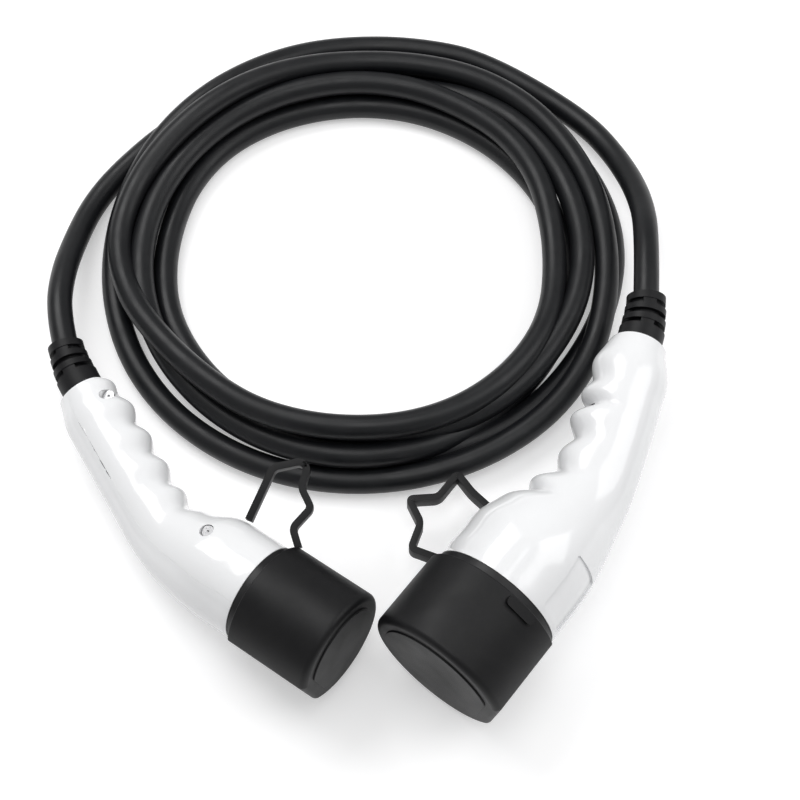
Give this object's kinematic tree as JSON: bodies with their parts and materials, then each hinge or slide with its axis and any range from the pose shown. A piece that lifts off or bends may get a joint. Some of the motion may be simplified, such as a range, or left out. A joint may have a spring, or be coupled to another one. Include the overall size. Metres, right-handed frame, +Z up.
{
  "type": "ev charging plug",
  "caption": "Coiled electric car charging lead with a smaller plug and a larger coupler on its ends, white bent handles, black noses and tethered rubber caps.",
  "frame": {"origin": "under the middle of the box around the two connectors, on the floor that the lead lies on", "axes": "+X from the smaller plug to the larger coupler, +Y from their caps towards the coil, +Z up"},
  "size_m": [0.3394, 0.4249, 0.0752],
  "materials": {
    "white_shell": "smooth glossy white moulding",
    "screw_steel": "plain steel",
    "black_housing": "satin black moulding",
    "seal_rubber": "soft black rubber",
    "contact_block": "matt black moulding",
    "contact_metal": "silver-plated contact",
    "resistor_body": "pale blue body",
    "core_insulation": "smooth insulation",
    "signal_insulation": "smooth insulation",
    "clamp_plastic": "grey moulding",
    "cable_jacket": "satin black jacket",
    "boot_rubber": "matt black rubber",
    "cap_rubber": "matt black rubber"
  },
  "bodies": {
    "lead": {"cable_coil": "cable_jacket", "coupler_cable_clamp": "clamp_plastic", "coupler_cable_end": "cable_jacket", "coupler_cable_grommet": "seal_rubber", "coupler_cap_tether": "cap_rubber", "coupler_clamp_screws": "screw_steel", "coupler_coding_resistor": "resistor_body", "coupler_contact_carrier": "contact_block", "coupler_contact_retainer": "contact_block", "coupler_earth_contact": "contact_metal", "coupler_lead": "cable_jacket", "coupler_nose_housing": "black_housing", "coupler_nose_seal": "seal_rubber", "coupler_pilot_contacts": "contact_metal", "coupler_pilot_cores": "signal_insulation", "coupler_power_contacts": "contact_metal", "coupler_power_cores": "core_insulation", "coupler_shell_label_side": "white_shell", "coupler_shell_screw_side": "white_shell", "coupler_shell_screws": "screw_steel", "coupler_strain_relief_boot": "boot_rubber", "plug_cable_clamp": "clamp_plastic", "plug_cable_end": "cable_jacket", "plug_cable_grommet": "seal_rubber", "plug_cap": "cap_rubber", "plug_cap_tether": "cap_rubber", "plug_clamp_screws": "screw_steel", "plug_coding_resistor": "resistor_body", "plug_contact_carrier": "contact_block", "plug_contact_retainer": "contact_block", "plug_earth_contact": "contact_metal", "plug_lead": "cable_jacket", "plug_nose_housing": "black_housing", "plug_nose_seal": "seal_rubber", "plug_pilot_contacts": "contact_metal", "plug_pilot_cores": "signal_insulation", "plug_power_contacts": "contact_metal", "plug_power_cores": "core_insulation", "plug_shell_label_side": "white_shell", "plug_shell_screw_side": "white_shell", "plug_shell_screws": "screw_steel", "plug_strain_relief_boot": "boot_rubber"},
    "coupler_cap": {"coupler_cap": "cap_rubber"}
  },
  "joints": [
    {"name": "coupler_cap_pull", "type": "slide", "parent": "lead", "child": "coupler_cap", "axis": [-0.6225, -0.7826, 0], "range_m": [0, 0.06], "deforming": ["coupler_cap_tether"]}
  ]
}
